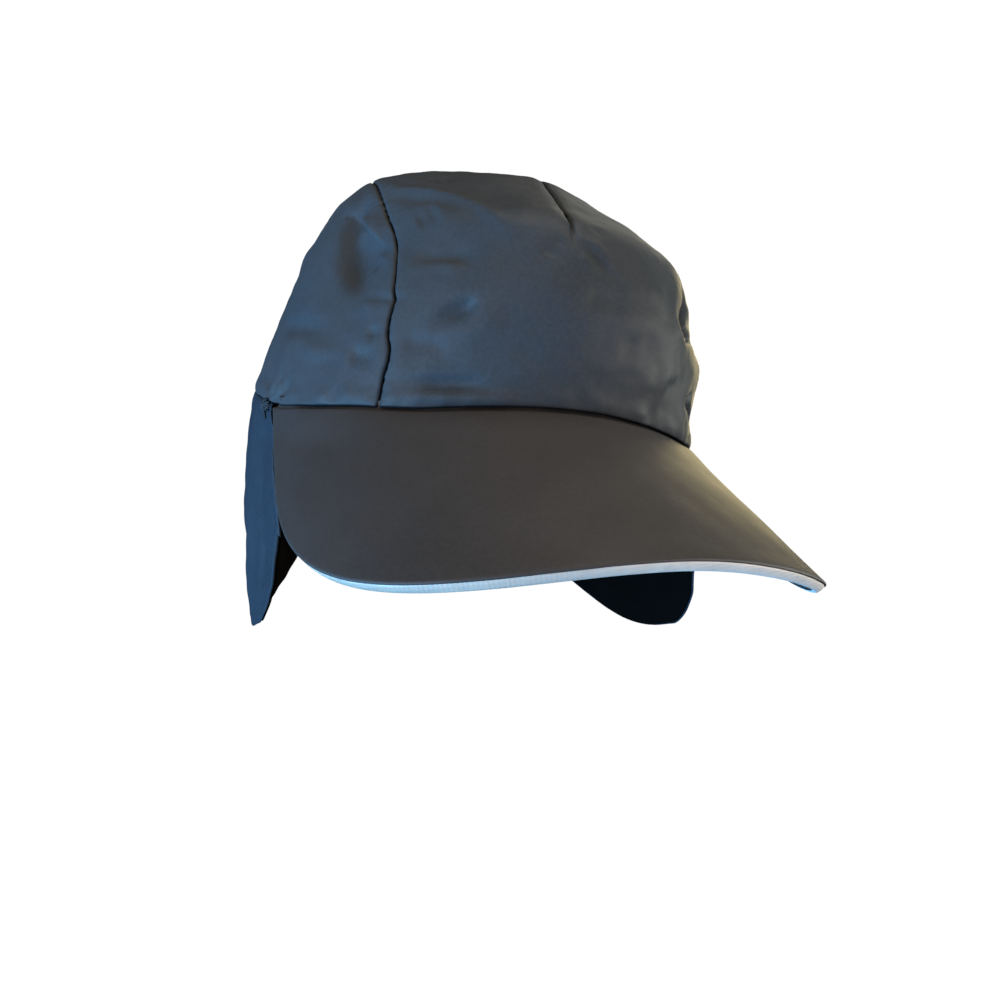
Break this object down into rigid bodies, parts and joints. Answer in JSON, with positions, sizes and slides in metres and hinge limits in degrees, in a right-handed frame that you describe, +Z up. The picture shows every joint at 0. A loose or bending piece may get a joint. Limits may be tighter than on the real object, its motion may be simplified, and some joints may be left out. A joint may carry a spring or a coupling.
{
  "type": "earflap baseball cap",
  "caption": "Soft cap with a domed panelled crown, a long curved stiff peak with a pale edge, and a lined flap that hangs from the rim over ears and neck.",
  "frame": {"origin": "middle of the rim, where the cap sits on a head, at the height of the rim at the nape", "axes": "+Z up through the crown, -Y the way the wearer looks (the peak), +X the wearer's left"},
  "size_m": [0.2049, 0.2561, 0.1944],
  "materials": {
    "crown_fabric": "navy tightly woven nylon with a soft sheen, lightly creased",
    "peak_fabric": "charcoal tightly woven nylon, smooth over a stiff board, slightly worn",
    "peak_trim": "pale blue-grey edge strip, satin",
    "flap_lining": "black brushed cloth, dull"
  },
  "bodies": {
    "root": {"crown_front_panel": "crown_fabric", "crown_back_panel": "crown_fabric", "crown_side_panel_left": "crown_fabric", "crown_side_panel_right": "crown_fabric", "peak_top_cover": "peak_fabric", "peak_trim": "peak_trim", "peak_under_cover": "peak_fabric", "ear_flap_shell": "crown_fabric", "ear_flap_lining": "flap_lining"}
  },
  "joints": []
}
